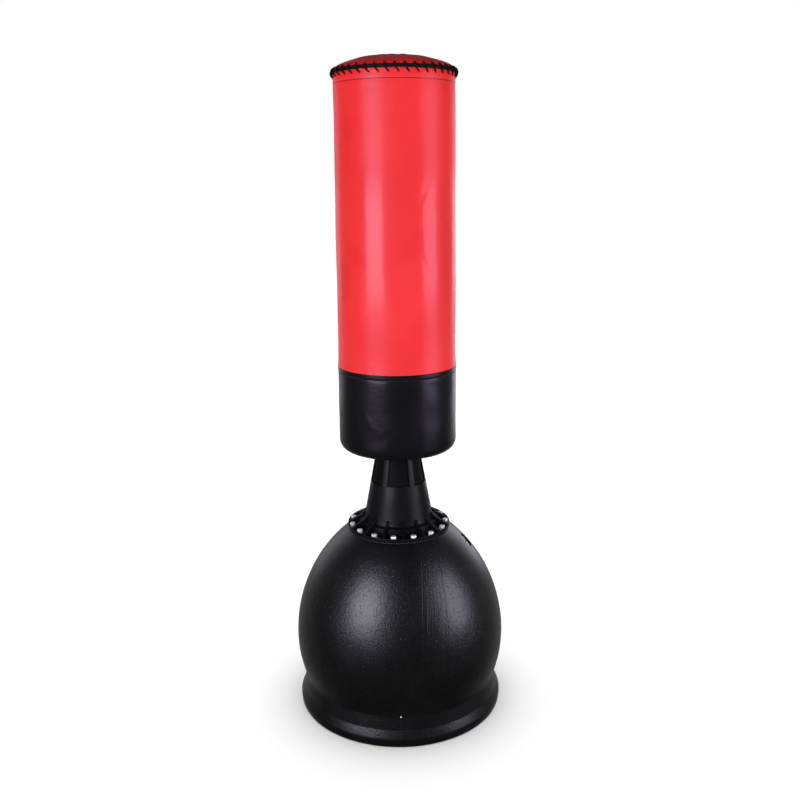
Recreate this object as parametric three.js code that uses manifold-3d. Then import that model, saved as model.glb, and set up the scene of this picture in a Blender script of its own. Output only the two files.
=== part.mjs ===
// Free-standing punching bag on a weighted base, in millimetres, +Z up, front towards -Y.
// The origin is on the floor, at the centre of the base.
import * as THREE from 'three';
import * as BufferGeometryUtils from 'three/addons/utils/BufferGeometryUtils.js';
import Module from 'manifold-3d';

const wasm = await Module();
wasm.setup();

// ---------- driving dimensions ----------
const GAP = 0.3;                      // air left between touching pieces
const BIG_SIDES = 36;                 // sides of every large turned piece

// base tank
const DOME = { r: -100.1, z: 196.3, radius: 382.85 };   // arc above the widest girth
const BELLY = { r: -38.2, z: 196.3, radius: 320.95 };   // arc below it
const TANK_WALL = 6;
const FLOOR_HOLLOW = 14;              // how far the underside is raised inside its ring
const COLLAR_R = 136;
const COLLAR_TOP = 497;
const MOUTH_R = 105;

// bolted flange
const BOLTS = 15;
const BOLT_CIRCLE_R = 126.2;
const FIRST_BOLT_DEG = -6.5;          // from the front, towards +X
const GASKET = 2;
const PLATE = 3;
const PLATE_R = 121;
const GASKET_Z = COLLAR_TOP + GAP;
const PLATE_Z = GASKET_Z + GASKET + GAP;
const FLANGE_R = 137.2;
const LIP_TOP = 510.5;
const SEAT_Z = 504.2;                 // where the bolt heads bear
const RIB_THICK = 8;

// neck
const NECK = { topR: 56, topZ: 722, taper: 0.184 };
const NECK_WALL = 4;
const CORE_INSET = 5.2;               // from the neck's outside to the core cone's outside
const LEDGE_Z = 629;                  // lower edge of the neck's windows
const WINDOW_TOP = 726;
const NECK_END = 734;
const POSTS = 6;
const POST_WIDTH = 14;
const CORE_TOP = 737;

// spring
const SEAT_R = 50;
const SEAT_THICK = 8;
const SPRING_R = 42;
const WIRE_R = 6;
const SPRING_LOW = CORE_TOP + GAP + SEAT_THICK + GAP;
const SPRING_HIGH = SPRING_LOW + 119;
const TURNS = 5.5;
const SPIGOT_R = 38;
const SPIGOT_TOP = 985;

// bag
const BAG_BOTTOM = 721;
const BORDER_Z = 944;                 // red sleeve above, black skirt below
const RIM_Z = 1661;
const DOME_RISE = 41.5;
const DOME_R = 149;
const COVER = 2.2;                    // thickness of the leathercloth
const SKIRT_R = 153.3;
const SKIRT_ROUND = 28;               // rounding of the lower edge
const OPENING_R = 90;
const TUBE_IN = 38.4;
const TUBE_OUT = 42.5;
const TUBE_LOW = SPRING_HIGH + GAP + SEAT_THICK + GAP;
const FOAM_LOW = BAG_BOTTOM + COVER + 9;
const FOAM_TOP = 1630;
const FOAM_SPLIT_R = 104.8;
const CROSS_BOLT_Z = 950;

// filling port, on the +X side of the dome
const PORT_Z = 452;
const PORT_BORE_R = 10.5;
const POCKET_R = 21;
const POCKET_DEPTH = 14;

// ---------- finishes ----------
function finish(color, roughness, metalness = 0) {
  return new THREE.MeshStandardMaterial({ color, roughness, metalness });
}

const MATERIALS = {
  tank: finish(0x141416, 0.42),
  neck: finish(0x1b1b1e, 0.45),
  cap: finish(0x101012, 0.35),
  rubber: finish(0x18181a, 0.8),
  zinc: finish(0xd8d8dc, 0.25, 1),
  brass: finish(0xb08d45, 0.35, 1),
  steel: finish(0x2a2b2e, 0.4, 0.6),
  red: finish(0xe8262c, 0.28),
  darkRed: finish(0xc21a20, 0.35),
  black: finish(0x131316, 0.3),
  lace: finish(0x0c0c0e, 0.6),
  foam: finish(0x9aa0a6, 0.95),
  padding: finish(0xd9d9d4, 0.95),
  board: finish(0xb98d5a, 0.8),
};

// ---------- shape helpers ----------
const group = new THREE.Group();

function add(name, geometry, material) {
  const mesh = new THREE.Mesh(geometry, material);
  mesh.name = name;
  group.add(mesh);
  return mesh;
}

// a solid of revolution about Z from [radius, height] points
function turned(points, sides = BIG_SIDES) {
  const profile = points.map(([r, z]) => new THREE.Vector2(r, z));
  return new THREE.LatheGeometry(profile, sides).rotateX(Math.PI / 2);
}

// a closed ring: its profile runs all the way round to its first point
function ring(points, sides = BIG_SIDES) {
  return turned([...points, points[0]], sides);
}

// a plain ring of rectangular section
function washer(inner, outer, low, high, sides = BIG_SIDES) {
  return ring([[inner, low], [outer, low], [outer, high], [inner, high]], sides);
}

// a plain round bar along Z
function bar(radius, low, high, sides = 10) {
  return turned([[0, low], [radius, low], [radius, high], [0, high]], sides);
}

// points on an arc about (r, z), angles in degrees from the +r direction
function arc(r, z, radius, from, to, steps) {
  const points = [];
  for (let i = 0; i <= steps; i += 1) {
    const angle = THREE.MathUtils.degToRad(from + ((to - from) * i) / steps);
    points.push([r + radius * Math.cos(angle), z + radius * Math.sin(angle)]);
  }
  return points;
}

// the angle at which an arc passes a height
function arcAngle(circle, inset, z) {
  return THREE.MathUtils.radToDeg(Math.asin((z - circle.z) / (circle.radius - inset)));
}

function arcBetween(circle, inset, lowZ, highZ, steps) {
  const from = arcAngle(circle, inset, lowZ);
  const to = arcAngle(circle, inset, highZ);
  return arc(circle.r, circle.z, circle.radius - inset, from, to, steps);
}

function solid(geometry) {
  const bare = geometry.clone();
  bare.deleteAttribute('normal');
  bare.deleteAttribute('uv');
  const merged = BufferGeometryUtils.mergeVertices(bare, 1e-4);
  return new wasm.Manifold(new wasm.Mesh({
    numProp: 3,
    vertProperties: new Float32Array(merged.attributes.position.array),
    triVerts: new Uint32Array(merged.index.array),
  }));
}

function geometryOf(manifold) {
  const mesh = manifold.getMesh();
  const geometry = new THREE.BufferGeometry();
  geometry.setAttribute('position', new THREE.BufferAttribute(mesh.vertProperties, 3));
  geometry.setIndex(new THREE.BufferAttribute(mesh.triVerts, 1));
  const flat = geometry.toNonIndexed();
  flat.computeVertexNormals();
  return flat;
}

function joined(geometries) {
  return geometries.map(solid).reduce((whole, piece) => whole.add(piece));
}

function without(whole, cutters) {
  return cutters.map(solid).reduce((left, cutter) => left.subtract(cutter), whole);
}

// a piece made at +X, carried round the Z axis to an angle from the front
function atAngle(geometry, degrees) {
  return geometry.clone().rotateZ(THREE.MathUtils.degToRad(degrees - 90));
}

function boltAngles() {
  return Array.from({ length: BOLTS }, (_, i) => FIRST_BOLT_DEG + (360 * i) / BOLTS);
}

function hexagon(acrossFlats, low, high) {
  return bar(acrossFlats / Math.sqrt(3), low, high, 6);
}

const numbered = (name, i) => `${name}_${String(i + 1).padStart(2, '0')}`;

// ---------- filling port frame ----------
const portReach = Math.sqrt(DOME.radius ** 2 - (PORT_Z - DOME.z) ** 2);
const PORT_LEAN = Math.atan2(portReach, PORT_Z - DOME.z);   // the port's axis leans from +Z to +X

// a piece turned about its own Z, with z = 0 at the dome's surface, put in its place on the dome
function atPort(geometry) {
  return geometry.rotateY(PORT_LEAN).translate(DOME.r + portReach, 0, PORT_Z);
}

// ---------- base ----------
const bellyLow = 92;                  // the belly ends in the waist's groove
const deckZ = 484;                    // the dome ends at the deck round the collar

function tankOutside() {
  return [
    [0, FLOOR_HOLLOW], [226, FLOOR_HOLLOW], [238, 0], [268, 0],
    ...arc(271, 7, 7, -60, 0, 1), [277.5, 26],
    ...arc(270, 34, 7, 15, 90, 2), [264.5, 45],
    [267.5, 52], [265.5, 60], [262, 79],
    ...arcBetween(BELLY, 0, bellyLow, BELLY.z, 3),
    ...arcBetween(DOME, 0, BELLY.z, deckZ, 7).slice(1),
    [COLLAR_R + 4, deckZ + 4], [COLLAR_R, deckZ + 6], [COLLAR_R, COLLAR_TOP], [MOUTH_R, COLLAR_TOP],
  ];
}

function tankInside() {
  return [
    [0, FLOOR_HOLLOW + TANK_WALL], [230, FLOOR_HOLLOW + TANK_WALL], [241, TANK_WALL],
    [267, TANK_WALL], [268, 24], [256, 60],
    ...arcBetween(BELLY, TANK_WALL, bellyLow + 4, BELLY.z, 2),
    ...arcBetween(DOME, TANK_WALL, BELLY.z, deckZ - 9, 4).slice(1),
    [MOUTH_R, deckZ - 3],
  ].reverse();
}

function makeTank() {
  const shell = solid(turned([...tankOutside(), ...tankInside()], BIG_SIDES));
  const boss = solid(atPort(bar(POCKET_R + 5, -POCKET_DEPTH - 5, -1.5, 20)));
  const pocket = atPort(bar(POCKET_R, -POCKET_DEPTH, 12, 20));
  const neck = atPort(washer(PORT_BORE_R, 14, -POCKET_DEPTH - 2, -7, 20));
  const bore = atPort(bar(PORT_BORE_R, -POCKET_DEPTH - 12, -POCKET_DEPTH + 3, 20));
  const sockets = boltAngles().map((angle) => {
    const socket = bar(5.8, deckZ + 1, COLLAR_TOP + 2, 6).translate(BOLT_CIRCLE_R, 0, 0);
    return atAngle(socket, angle);
  });
  const ported = without(shell.add(boss), [pocket]).add(solid(neck));
  add('base_tank', geometryOf(without(ported, [bore, ...sockets])), MATERIALS.tank);
}

function makeFlangeFasteners() {
  const insert = washer(4.4, 5.4, deckZ + 1 + GAP, COLLAR_TOP, 6).translate(BOLT_CIRCLE_R, 0, 0);
  const bolt = geometryOf(joined([
    bar(3.8, deckZ + 4, SEAT_Z + 1, 6),
    bar(8.6, SEAT_Z + GAP, SEAT_Z + 2, 12),
    turned([[0, SEAT_Z + 1.5], [7.8, SEAT_Z + 1.5], [7.8, SEAT_Z + 9.6], [6.6, SEAT_Z + 10.8], [0, SEAT_Z + 10.8]], 6),
  ])).translate(BOLT_CIRCLE_R, 0, 0);
  boltAngles().forEach((angle, i) => {
    add(numbered('thread_insert', i), atAngle(insert, angle), MATERIALS.brass);
    add(numbered('flange_bolt', i), atAngle(bolt, angle), MATERIALS.zinc);
  });
}

function boltHoles(radius, low, high) {
  return boltAngles().map((angle) => atAngle(bar(radius, low, high, 6).translate(BOLT_CIRCLE_R, 0, 0), angle));
}

function makeGasket() {
  const blank = solid(washer(MOUTH_R + 1, COLLAR_R - 0.5, GASKET_Z, GASKET_Z + GASKET));
  const cut = without(blank, boltHoles(4.6, GASKET_Z - 2, GASKET_Z + GASKET + 2));
  add('flange_gasket', geometryOf(cut), MATERIALS.rubber);
}

// ---------- neck ----------
function neckRadius(z) {
  return NECK.topR + (NECK.topZ - z) * NECK.taper;
}

const footZ = 534;                    // the cone's straight side ends here and sweeps out to the step
const stepZ = 521.5;                  // top of the step round the cone's foot, a short upright wall
const STEP_R = 105;

function makeNeck() {
  const plateTop = PLATE_Z + PLATE + GAP;
  const body = ring([
    [PLATE_R + GAP, PLATE_Z], [FLANGE_R, PLATE_Z], [FLANGE_R, LIP_TOP - 1], [FLANGE_R - 1, LIP_TOP],
    [FLANGE_R - 1.6, LIP_TOP - 0.6], [FLANGE_R - 1.6, SEAT_Z], [STEP_R, SEAT_Z], [STEP_R - 1.5, stepZ],
    [neckRadius(footZ) + 3, footZ - 8.5], [neckRadius(footZ), footZ],
    [neckRadius(NECK_END), NECK_END], [neckRadius(NECK_END) - NECK_WALL, NECK_END],
    [neckRadius(footZ) - NECK_WALL, footZ], [STEP_R - 5.5, stepZ - 4], [STEP_R - 4, plateTop],
    [PLATE_R + GAP, plateTop],
  ]);
  const ribSide = new THREE.Shape();
  ribSide.moveTo(87, SEAT_Z - 1);
  ribSide.lineTo(87, footZ + 6);
  ribSide.lineTo(94, footZ + 5);
  ribSide.lineTo(102, footZ - 5);
  ribSide.lineTo(FLANGE_R - 5, LIP_TOP + 2.5);
  ribSide.lineTo(FLANGE_R - 1, LIP_TOP - 0.4);
  ribSide.lineTo(FLANGE_R - 1, SEAT_Z - 1);
  const rib = new THREE.ExtrudeGeometry(ribSide, { depth: RIB_THICK, bevelEnabled: false });
  rib.rotateX(Math.PI / 2).translate(0, RIB_THICK / 2, 0);
  const inner = solid(turned([
    [0, 490], [PLATE_R + 1, 490], [PLATE_R + 1, plateTop], [STEP_R - 4, plateTop],
    [STEP_R - 5.5, stepZ - 4], [neckRadius(footZ) - NECK_WALL, footZ],
    [neckRadius(NECK_END) - NECK_WALL, NECK_END], [0, NECK_END],
  ]));
  const ribs = boltAngles().map((angle) => solid(atAngle(rib, angle + 180 / BOLTS)).subtract(inner));
  let neck = ribs.reduce((whole, piece) => whole.add(piece), solid(body));
  neck = without(neck, [...boltHoles(4.6, 490, 520), ...windowCutters()]);
  add('neck_cone', geometryOf(neck), MATERIALS.neck);
}

// each window is the space between two neighbouring posts, whose sides are parallel
function windowCutters() {
  const half = Math.PI / POSTS;
  const apex = POST_WIDTH / 2 / Math.sin(half);
  const far = 100;
  const plan = new THREE.Shape();
  plan.moveTo(apex, 0);
  plan.lineTo(apex + far * Math.cos(half), far * Math.sin(half));
  plan.lineTo(apex + far * Math.cos(half), -far * Math.sin(half));
  const depth = WINDOW_TOP - LEDGE_Z;
  const wedge = new THREE.ExtrudeGeometry(plan, { depth, bevelEnabled: false }).translate(0, 0, LEDGE_Z);
  return Array.from({ length: POSTS }, (_, i) => atAngle(wedge, (360 * i) / POSTS));
}

function coreRadius(z) {
  return neckRadius(z) - CORE_INSET;
}

const SEAT_BOLTS = 3;
const SEAT_BOLT_R = 18;

function seatBoltPlaces(geometry) {
  return Array.from({ length: SEAT_BOLTS }, (_, i) => (
    atAngle(geometry.clone().translate(SEAT_BOLT_R, 0, 0), (360 * i) / SEAT_BOLTS)));
}

function makeCoreCone() {
  const wall = 3;
  const blank = solid(turned([
    [0, PLATE_Z], [PLATE_R, PLATE_Z], [PLATE_R, PLATE_Z + PLATE],
    [coreRadius(PLATE_Z + PLATE), PLATE_Z + PLATE], [coreRadius(CORE_TOP), CORE_TOP], [0, CORE_TOP],
    [0, CORE_TOP - 10], [coreRadius(CORE_TOP - 10) - wall, CORE_TOP - 10],
    [coreRadius(PLATE_Z + PLATE) - wall, PLATE_Z + PLATE], [0, PLATE_Z + PLATE],
  ]));
  const taps = seatBoltPlaces(bar(5.2, CORE_TOP - 14, CORE_TOP + 3));
  add('core_cone', geometryOf(without(blank, taps)), MATERIALS.steel);
}

// ---------- spring and its seats ----------
const HUB = { inner: 29.6, outer: 33.4, height: 12 };

function makeLowerSeat() {
  const low = CORE_TOP + GAP;
  const high = low + SEAT_THICK;
  const blank = solid(turned([
    [0, low], [SEAT_R, low], [SEAT_R, high], [HUB.outer, high], [HUB.outer, high + HUB.height],
    [HUB.inner, high + HUB.height], [HUB.inner, high], [0, high],
  ], 24));
  const holes = seatBoltPlaces(bar(5.5, low - 2, high + 2));
  add('lower_spring_seat', geometryOf(without(blank, holes)), MATERIALS.steel);
  const bolt = geometryOf(joined([
    bar(4.7, CORE_TOP - 9, high + 2),
    hexagon(16, high + GAP, high + 6.7),
  ]));
  seatBoltPlaces(bolt).forEach((geometry, i) => add(numbered('seat_bolt', i), geometry, MATERIALS.zinc));
}

class Helix extends THREE.Curve {
  getPoint(t, target = new THREE.Vector3()) {
    const angle = 2 * Math.PI * TURNS * t;
    const end = WIRE_R + 1;
    const z = SPRING_LOW + end + t * (SPRING_HIGH - SPRING_LOW - 2 * end);
    return target.set(SPRING_R * Math.cos(angle), SPRING_R * Math.sin(angle), z);
  }
}

function makeSpring() {
  const section = new THREE.Shape();
  section.absarc(0, 0, WIRE_R, 0, 2 * Math.PI);
  const wire = new THREE.ExtrudeGeometry(section, {
    steps: Math.round(TURNS * 12), curveSegments: 4, extrudePath: new Helix(), bevelEnabled: false,
  });
  add('coil_spring', wire, MATERIALS.steel);
}

function alongX(geometry, z) {
  return geometry.rotateY(Math.PI / 2).translate(0, 0, z);
}

function makeUpperSeat() {
  const low = SPRING_HIGH + GAP;
  const high = low + SEAT_THICK;
  const blank = solid(ring([
    [26, low], [HUB.inner, low], [HUB.inner, low - HUB.height], [HUB.outer, low - HUB.height],
    [HUB.outer, low], [55, low], [55, high], [SPIGOT_R, high], [SPIGOT_R, SPIGOT_TOP], [SPIGOT_R - 5, SPIGOT_TOP],
    [SPIGOT_R - 5, high], [26, high],
  ], 24));
  const hole = alongX(bar(5.6, -60, 60), CROSS_BOLT_Z);
  add('upper_spring_seat', geometryOf(without(blank, [hole])), MATERIALS.steel);
}

function makeCoreTube() {
  const blank = solid(washer(TUBE_IN, TUBE_OUT, TUBE_LOW, FOAM_TOP, 24));
  const hole = alongX(bar(5.6, -60, 60), CROSS_BOLT_Z);
  add('core_tube', geometryOf(without(blank, [hole])), MATERIALS.steel);
  const face = TUBE_OUT + GAP;
  const bolt = geometryOf(joined([bar(4.9, -face - 2, face + 10), hexagon(16, -face - 6.4, -face)]));
  add('core_cross_bolt', alongX(bolt, CROSS_BOLT_Z), MATERIALS.zinc);
  const nut = solid(hexagon(16, face, face + 8));
  const tapped = geometryOf(without(nut, [bar(5.3, face - 2, face + 12)]));
  add('core_cross_nut', alongX(tapped, CROSS_BOLT_Z), MATERIALS.zinc);
}

// ---------- bag ----------
// the outside of the red sleeve narrows a little towards the top, and flares at its lower seam
function sleeveLine(inset) {
  return [[153.6, BORDER_Z + GAP], [151.9, 1037], [148.7, RIM_Z - GAP]]
    .map(([r, z]) => [r - inset, z]);
}

function skirtLine(inset) {
  const centreR = SKIRT_R - SKIRT_ROUND;
  const round = arc(centreR, BAG_BOTTOM + SKIRT_ROUND, SKIRT_ROUND - inset, -90, 0, 4);
  return [...round, [SKIRT_R + 0.4 - inset, BORDER_Z]];
}

function capHeight(r) {
  return RIM_Z + DOME_RISE * Math.sqrt(1 - (r / DOME_R) ** 2);
}

function capLine(inset) {
  const radii = [148, 143, 130, 103, 60, 0];
  return radii.map((r) => [r * (1 - inset / DOME_R), capHeight(r) - inset]);
}

function makeCovers() {
  const sleeve = ring([...sleeveLine(0), ...sleeveLine(COVER).reverse()]);
  add('sleeve_cover', sleeve, MATERIALS.red);
  const skirt = ring([
    [OPENING_R, BAG_BOTTOM], ...skirtLine(0), ...skirtLine(COVER).reverse(), [OPENING_R, BAG_BOTTOM + COVER],
  ]);
  add('skirt_cover', skirt, MATERIALS.black);
  const cap = turned([[148.6 - COVER, RIM_Z + GAP], [148.6, RIM_Z + GAP], ...capLine(0), ...capLine(COVER).reverse(),
    [148.6 - COVER, RIM_Z + GAP]]);
  add('top_cover', cap, MATERIALS.darkRed);
}

function makePadding() {
  const clear = COVER + GAP + 0.1;
  add('inner_foam', ring([
    [OPENING_R, FOAM_LOW], [FOAM_SPLIT_R, FOAM_LOW], [FOAM_SPLIT_R, FOAM_TOP], [TUBE_OUT + 0.5, FOAM_TOP],
    [TUBE_OUT + 0.5, 1000], [62, 1000], [62, 880], [OPENING_R, 880],
  ]), MATERIALS.foam);
  const round = skirtLine(clear).filter(([, z]) => z > FOAM_LOW + 1);
  const sleeve = sleeveLine(clear).slice(1, -1);
  add('outer_foam', ring([
    [FOAM_SPLIT_R + 0.5, FOAM_LOW], [144, FOAM_LOW], ...round, ...sleeve, [146.2, FOAM_TOP],
    [FOAM_SPLIT_R + 0.5, FOAM_TOP],
  ]), MATERIALS.padding);
  add('bottom_board', washer(OPENING_R + 0.5, 125, BAG_BOTTOM + COVER + GAP, FOAM_LOW - GAP), MATERIALS.board);
  add('top_board', turned([[0, FOAM_TOP + GAP], [144, FOAM_TOP + GAP], [144, FOAM_TOP + 8], [0, FOAM_TOP + 8]]),
    MATERIALS.board);
  add('top_pad', turned([[0, FOAM_TOP + 8 + GAP], [145.6, FOAM_TOP + 8 + GAP],
    ...capLine(clear).slice(1)]), MATERIALS.padding);
}

// the cord that laces the top cover to the sleeve: a wave round the rim, in front of both edges
function makeLacing() {
  const stitches = 40;
  const half = 1.9;
  const corners = [];
  for (let i = 0; i < stitches; i += 1) {
    corners.push({ step: i, r: 150.3, z: RIM_Z + 9 });
    corners.push({ step: i + 0.5, r: 152.2, z: RIM_Z - 8 });
  }
  const section = [[-half, -half], [half, -half], [half, half], [-half, half]];
  const vertices = [];
  const faces = [];
  corners.forEach(({ step, r, z }, i) => {
    const angle = (2 * Math.PI * step) / stitches;
    section.forEach(([dr, dz]) => {
      vertices.push((r + dr) * Math.cos(angle), (r + dr) * Math.sin(angle), z + dz);
    });
    section.forEach((_, k) => {
      const a = 4 * i + k;
      const b = 4 * i + ((k + 1) % 4);
      const c = 4 * ((i + 1) % corners.length) + ((k + 1) % 4);
      const d = 4 * ((i + 1) % corners.length) + k;
      faces.push(a, c, b, a, d, c);
    });
  });
  const cord = new THREE.BufferGeometry();
  cord.setAttribute('position', new THREE.Float32BufferAttribute(vertices, 3));
  cord.setIndex(faces);
  add('rim_lacing', cord, MATERIALS.lace);
}

// ---------- filling cap ----------
function makeFillCap() {
  const blank = solid(atPort(turned([
    [0, -5], [14.5, -5], [14.5, -12.6], [17, -12.6], [17, -1], [16, 0], [0, 0],
  ], 20)));
  const bars = [[24, 5], [5, 24]].map(([long, wide]) => atPort(new THREE.BoxGeometry(long, wide, 5)));
  add('fill_cap', geometryOf(without(blank, bars)), MATERIALS.cap);
  add('fill_seal', atPort(washer(10.9, 13.8, -6.7, -5.3, 20)), MATERIALS.rubber);
}

makeTank();
makeFlangeFasteners();
makeGasket();
makeNeck();
makeCoreCone();
makeLowerSeat();
makeSpring();
makeUpperSeat();
makeCoreTube();
makeCovers();
makePadding();
makeLacing();
makeFillCap();

export default group;
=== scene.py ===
# %% [markdown]
# # A free-standing punching bag
# The real object is a foam cylinder in leathercloth, red above and black below, that stands on a
# spring in a moulded plastic neck. Fifteen bolts hold the neck to a hollow base, which the owner
# fills with water or sand. The working solids come from the frame, already in place and in metres.
# This script makes the surfaces that people see: sewn covers, laced rim, moulded plastic and bolts.

# %% Load the frame
import math
import bmesh
import bpy
from mathutils import Matrix, Vector, noise


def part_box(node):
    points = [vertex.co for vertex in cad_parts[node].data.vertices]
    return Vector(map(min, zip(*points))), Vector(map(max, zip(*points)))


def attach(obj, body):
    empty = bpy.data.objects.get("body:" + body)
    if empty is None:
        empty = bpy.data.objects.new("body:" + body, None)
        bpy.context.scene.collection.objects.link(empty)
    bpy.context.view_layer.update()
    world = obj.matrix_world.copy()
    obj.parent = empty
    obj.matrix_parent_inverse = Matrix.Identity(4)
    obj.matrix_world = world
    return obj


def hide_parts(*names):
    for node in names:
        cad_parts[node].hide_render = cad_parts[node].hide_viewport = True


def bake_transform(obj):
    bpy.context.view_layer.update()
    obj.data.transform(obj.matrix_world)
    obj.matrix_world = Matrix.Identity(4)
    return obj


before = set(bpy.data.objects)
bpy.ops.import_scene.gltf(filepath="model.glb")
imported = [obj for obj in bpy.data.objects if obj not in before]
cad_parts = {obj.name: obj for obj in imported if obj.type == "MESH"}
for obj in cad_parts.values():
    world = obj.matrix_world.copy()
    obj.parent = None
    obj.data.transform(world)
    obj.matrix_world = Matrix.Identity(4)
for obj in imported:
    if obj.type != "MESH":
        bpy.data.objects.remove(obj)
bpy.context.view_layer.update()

MM = 0.001
CLOTH = 2.2                   # thickness of the padded covers' cloth, in millimetres
COVER_R = 150                 # the radius at which the covers are unrolled

# %% [markdown]
# ## Places taken from the frame
# Every new piece must sit where its working solid sits. So the heights and radii that matter are
# read from the solids' boxes once, in millimetres, and all the outlines below are built from them.

# %% Heights and radii in millimetres
def height(node, end):
    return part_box(node)[end].z / MM

def radius(node):
    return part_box(node)[1].x / MM

COLLAR_TOP = height("base_tank", 1)
FLANGE_LOW = height("neck_cone", 0)
NECK_END = height("neck_cone", 1)
FLANGE_R = radius("neck_cone")
CORE_TOP = height("core_cone", 1)
BAG_BOTTOM = height("skirt_cover", 0)
BORDER = height("skirt_cover", 1)
RIM = height("sleeve_cover", 1)
TOP = height("top_cover", 1)
SKIRT_R = radius("skirt_cover") - 0.4
print("collar", COLLAR_TOP, "flange", FLANGE_R, "bag", BAG_BOTTOM, BORDER, RIM, TOP)

# %% [markdown]
# ## Camera
# The view is from the height of the bag's upper third, looking down by about fourteen degrees. A
# lens of about 40 mm gives the slight narrowing towards the floor. The camera leans by half a degree,
# as a hand-held one does, so the three turns are multiplied as matrices: round Z, down, then lean.

# %% Camera
CAMERA_PLACE = (-0.0015, -2.305, 1.406)
LENS_MM, PAN, DOWN, LEAN = 40.55, -0.205, 13.64, -0.56

def make_camera():
    data = bpy.data.cameras.new("camera")
    data.lens = LENS_MM
    data.sensor_width = 36
    camera = bpy.data.objects.new("camera", data)
    turn = Matrix.Rotation(math.radians(PAN), 4, "Z")
    tilt = Matrix.Rotation(math.radians(90 - DOWN), 4, "X")
    lean = Matrix.Rotation(math.radians(LEAN), 4, "Z")
    camera.matrix_world = Matrix.Translation(CAMERA_PLACE) @ turn @ tilt @ lean
    bpy.context.scene.collection.objects.link(camera)
    bpy.context.scene.camera = camera
    return camera

print("camera at", make_camera().matrix_world.translation)

# %% [markdown]
# ## Soft boxes
# Two tall soft boxes, one on each side of the camera, draw the two upright stripes on the glossy
# covers and the two soft ovals on the dome, and two weak ones behind the object edge it. These are
# for reflections only. Four wide panels light the colours without showing in reflections, so the
# black plastic stays black.

# %% Lights
WHITE, LILAC = (1.0, 1.0, 1.0), (0.87, 0.83, 1.0)

def make_soft_box(name, azimuth, distance, middle, size, watts, glossy=True):
    """A soft box seen in reflections (glossy) or one that only lights the surfaces (not glossy)."""
    data = bpy.data.lights.new(name, "AREA")
    data.shape = "RECTANGLE"
    data.size, data.size_y = size
    data.energy = watts
    data.color = LILAC if glossy else WHITE
    lamp = bpy.data.objects.new(name, data)
    angle = math.radians(azimuth)
    lamp.location = (distance * math.sin(angle), -distance * math.cos(angle), middle)
    aim = Vector((0, 0, min(middle, 1.0))) - lamp.location
    lamp.rotation_euler = aim.to_track_quat("-Z", "Y").to_euler()
    lamp.visible_glossy = glossy
    lamp.visible_diffuse = not glossy
    bpy.context.scene.collection.objects.link(lamp)
    return lamp


FILL = [
    make_soft_box("front_fill", 0, 3.4, 1.3, (5.6, 2.2), 108, False),
    make_soft_box("left_fill", -82, 3.2, 1.3, (2.0, 2.2), 24, False),
    make_soft_box("right_fill", 82, 3.2, 1.3, (2.0, 2.2), 24, False),
    make_soft_box("back_fill", 180, 3.4, 1.3, (5.6, 2.2), 80, False),
]
STRIPES = [
    make_soft_box("left_soft_box", -40, 2.6, 1.45, (1.5, 1.8), 104),
    make_soft_box("right_soft_box", 66, 2.6, 1.25, (1.3, 1.9), 60),
    make_soft_box("rear_left_soft_box", -140, 2.6, 1.05, (1.2, 1.75), 5),
    make_soft_box("rear_right_soft_box", 145, 2.6, 1.0, (1.0, 1.8), 11),
]
print("lights:", [lamp.name for lamp in FILL + STRIPES])

# %% [markdown]
# ## Writing shader maths as Python
# A node tree is easier to read as an expression than as a list of links. `Wire` wraps one output
# socket and turns +, -, * and abs() into Math nodes. `Finish` holds one material and makes every other
# kind of node through one method, which sets the node's own settings first and then its sockets.

# %% Shader helpers
class Wire:
    def __init__(self, finish, socket):
        self.finish = finish
        self.socket = socket

    def maths(self, operation, first, second=0.0):
        return self.finish.node("ShaderNodeMath", {"operation": operation}, {0: first, 1: second})

    def __add__(self, other):
        return self.maths("ADD", self, other)

    __radd__ = __add__

    def __mul__(self, other):
        return self.maths("MULTIPLY", self, other)

    __rmul__ = __mul__

    def __sub__(self, other):
        return self.maths("SUBTRACT", self, other)

    def __rsub__(self, other):
        return self.maths("SUBTRACT", other, self)

    def __abs__(self):
        return self.maths("ABSOLUTE", self)

    def between(self, low, high, start=0.0, end=1.0):
        """0 to 1 (or start to end) as the value goes from low to high, with soft ends."""
        inputs = {"Value": self, "From Min": low, "From Max": high, "To Min": start, "To Max": end}
        return self.finish.node("ShaderNodeMapRange", {"interpolation_type": "SMOOTHSTEP"}, inputs)


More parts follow.
